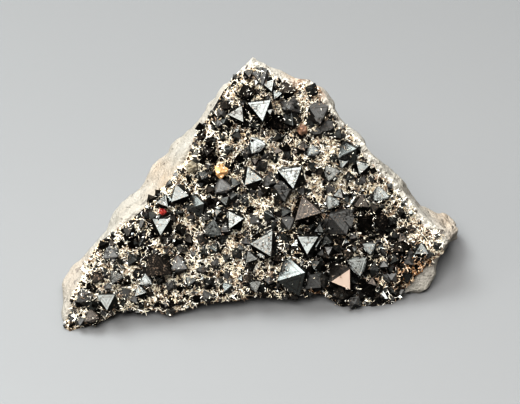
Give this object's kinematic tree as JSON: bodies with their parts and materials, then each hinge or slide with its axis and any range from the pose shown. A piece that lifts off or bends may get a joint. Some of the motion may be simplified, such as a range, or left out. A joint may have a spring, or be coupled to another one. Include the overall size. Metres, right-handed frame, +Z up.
{
  "type": "mineral specimen, magnetite in matrix",
  "caption": "Wedge of pale volcanic rock standing on its broken base, its sloping front face covered by a crust of black octahedral magnetite crystals.",
  "frame": {"origin": "middle of the base at table height, under the middle of the whole specimen's box", "axes": "+X to the right along the foot of the crystal face, +Y towards the back of the rock, +Z up"},
  "size_m": [0.063, 0.0353, 0.0342],
  "materials": {
    "tuff": "fine-grained broken volcanic tuff, off-white to cream, with small dark pits and specks",
    "magnetite": "black crystals with a metallic lustre, bright blue-white where a face catches the light, pale rock dust between them",
    "amber_grain": "iron-stained amber grain, waxy",
    "red_grain": "deep red grain, glossy",
    "brown_grain": "orange-brown iron-stained grain",
    "olive_grain": "dull olive-grey grain"
  },
  "bodies": {
    "root": {"matrix": "tuff", "magnetite_crust": "magnetite", "amber_grain": "amber_grain", "red_grain": "red_grain", "brown_grain": "brown_grain", "olive_grain": "olive_grain"}
  },
  "joints": []
}
